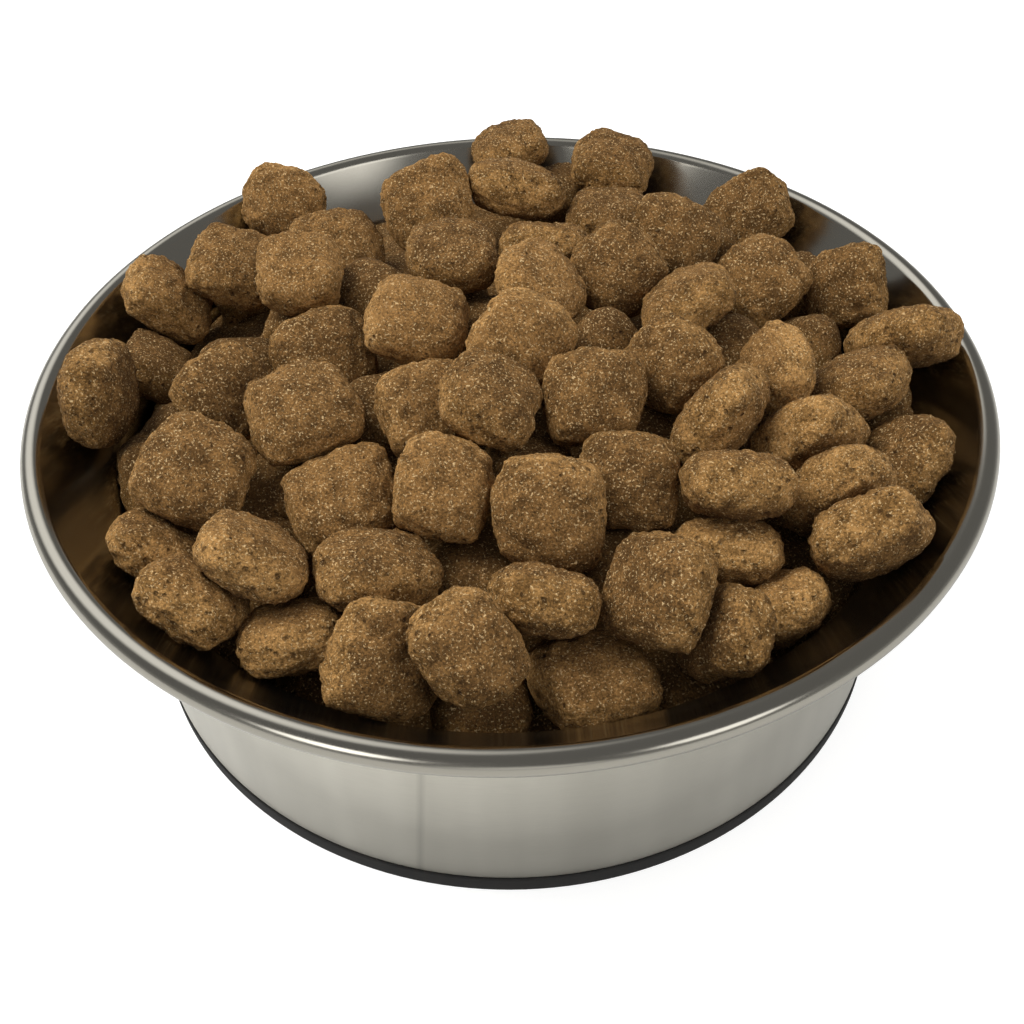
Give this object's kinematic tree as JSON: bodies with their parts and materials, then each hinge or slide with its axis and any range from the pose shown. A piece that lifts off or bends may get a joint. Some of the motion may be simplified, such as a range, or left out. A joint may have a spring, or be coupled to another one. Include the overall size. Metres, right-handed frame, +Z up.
{
  "type": "pet bowl filled with dry food",
  "caption": "Round steel pet bowl with a rolled rim, a straight outer skirt and a rubber foot ring, heaped with pillow-shaped pieces of dry food.",
  "frame": {"origin": "on the ground, on the bowl's vertical axis", "axes": "+Z up, +Y from the pictured front to the back, +X to the pictured right"},
  "size_m": [0.21, 0.21, 0.09],
  "materials": {
    "polished_steel": "polished",
    "brushed_steel": "satin",
    "black_rubber": "matte",
    "baked_kibble": null
  },
  "bodies": {
    "root": {"basin": "polished_steel", "skirt": "brushed_steel", "rubber_foot": "black_rubber", "kibble_bed": "baked_kibble", "kibble_01": "baked_kibble", "kibble_02": "baked_kibble", "kibble_03": "baked_kibble", "kibble_04": "baked_kibble", "kibble_05": "baked_kibble", "kibble_06": "baked_kibble", "kibble_07": "baked_kibble", "kibble_08": "baked_kibble", "kibble_09": "baked_kibble", "kibble_10": "baked_kibble", "kibble_11": "baked_kibble", "kibble_12": "baked_kibble", "kibble_13": "baked_kibble", "kibble_14": "baked_kibble", "kibble_15": "baked_kibble", "kibble_16": "baked_kibble", "kibble_17": "baked_kibble", "kibble_18": "baked_kibble", "kibble_19": "baked_kibble", "kibble_20": "baked_kibble", "kibble_21": "baked_kibble", "kibble_22": "baked_kibble", "kibble_23": "baked_kibble", "kibble_24": "baked_kibble", "kibble_25": "baked_kibble", "kibble_26": "baked_kibble", "kibble_27": "baked_kibble", "kibble_28": "baked_kibble", "kibble_29": "baked_kibble", "kibble_30": "baked_kibble", "kibble_31": "baked_kibble", "kibble_32": "baked_kibble", "kibble_33": "baked_kibble", "kibble_34": "baked_kibble", "kibble_35": "baked_kibble", "kibble_36": "baked_kibble", "kibble_37": "baked_kibble", "kibble_38": "baked_kibble", "kibble_39": "baked_kibble", "kibble_40": "baked_kibble", "kibble_41": "baked_kibble", "kibble_42": "baked_kibble", "kibble_43": "baked_kibble", "kibble_44": "baked_kibble", "kibble_45": "baked_kibble", "kibble_46": "baked_kibble", "kibble_47": "baked_kibble", "kibble_48": "baked_kibble", "kibble_49": "baked_kibble", "kibble_50": "baked_kibble", "kibble_51": "baked_kibble", "kibble_52": "baked_kibble", "kibble_53": "baked_kibble", "kibble_54": "baked_kibble", "kibble_55": "baked_kibble", "kibble_56": "baked_kibble"}
  },
  "joints": []
}
